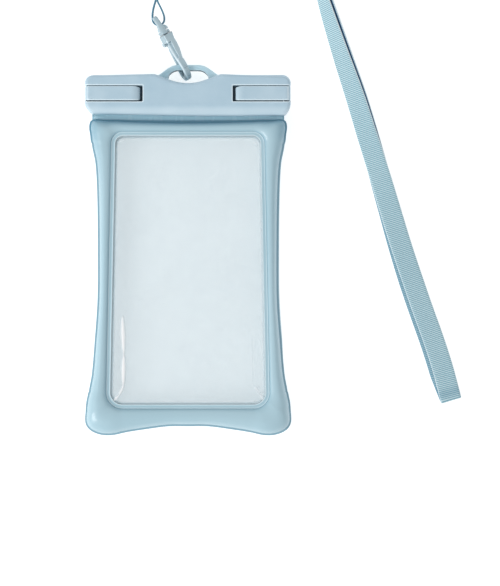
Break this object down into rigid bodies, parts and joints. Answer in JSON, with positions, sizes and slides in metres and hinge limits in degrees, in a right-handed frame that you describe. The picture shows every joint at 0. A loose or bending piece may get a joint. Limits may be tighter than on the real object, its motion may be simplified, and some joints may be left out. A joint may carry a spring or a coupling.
{
  "type": "waterproof phone pouch",
  "caption": "Waterproof phone pouch with clear windows in an air-filled frame, a hinged clamp bar with flip latches, and a folded webbing lanyard on a swivel snap hook.",
  "frame": {"origin": "on the surface that the pouch lies on, below the middle of the pouch, its lanyard and hook left aside", "axes": "+Y from the foot of the pouch to its clamp bar, +X across it to the right as seen from the front, +Z out of its front window"},
  "size_m": [0.2109, 0.3067, 0.0209],
  "materials": {
    "clamp_plastic": "fine satin moulded ABS, light blue",
    "latch_plastic": "satin moulded ABS, light blue",
    "air_frame": "soft glossy TPU film blown up with air, light blue",
    "clear_film": "clear glossy TPU film",
    "neck_film": "thin glossy TPU film, light blue",
    "silicone": "matt soft silicone, pale grey",
    "pin_steel": "bright drawn steel wire",
    "hook_plastic": "satin moulded acetal, light grey blue",
    "webbing": "finely ribbed woven polyester, light blue"
  },
  "bodies": {
    "pouch": {"front_ring": "air_frame", "back_ring": "air_frame", "front_window": "clear_film", "back_window": "clear_film", "neck_sleeve": "neck_film", "back_jaw": "clamp_plastic", "back_seal": "silicone", "hinge_pin_left": "pin_steel", "hinge_pin_right": "pin_steel", "strap_run": "webbing"},
    "clamp_jaw": {"front_jaw": "clamp_plastic", "front_seal": "silicone", "latch_pin_left": "pin_steel", "latch_pin_right": "pin_steel"},
    "left_latch": {"latch_left": "latch_plastic"},
    "right_latch": {"latch_right": "latch_plastic"},
    "hook": {"hook_body": "hook_plastic", "gate_pin": "pin_steel", "strap_lead": "webbing"},
    "gate": {"hook_gate": "hook_plastic"},
    "swivel": {"swivel_ring": "hook_plastic", "strap_loop": "webbing"}
  },
  "joints": [
    {"name": "jaw_hinge", "type": "hinge", "parent": "pouch", "child": "clamp_jaw", "pos_m": [0, 0.0962, 0.0085], "axis": [1, 0, 0], "range_deg": [-60, 0]},
    {"name": "left_latch_flip", "type": "hinge", "parent": "clamp_jaw", "child": "left_latch", "pos_m": [-0.0555, 0.0877, 0.0056], "axis": [0, -1, 0], "range_deg": [0, 100]},
    {"name": "right_latch_flip", "type": "hinge", "parent": "clamp_jaw", "child": "right_latch", "pos_m": [0.0555, 0.0877, 0.0056], "axis": [0, 1, 0], "range_deg": [0, 100]},
    {"name": "hook_swing", "type": "hinge", "parent": "pouch", "child": "hook", "pos_m": [0, 0.10295, 0.006], "axis": [1, 0, 0], "range_deg": [-90, 90]},
    {"name": "gate_press", "type": "hinge", "parent": "hook", "child": "gate", "pos_m": [-0.01039, 0.11685, 0.00505], "axis": [-0.8829, -0.4695, 0], "range_deg": [0, 18], "stiffness_Nm_per_rad": 0.03, "springref_deg": -11.46},
    {"name": "ring_swivel", "type": "hinge", "parent": "hook", "child": "swivel", "pos_m": [-0.00291, 0.10278, 0.00719], "axis": [-0.4637, 0.8721, 0.1564], "continuous": true}
  ]
}
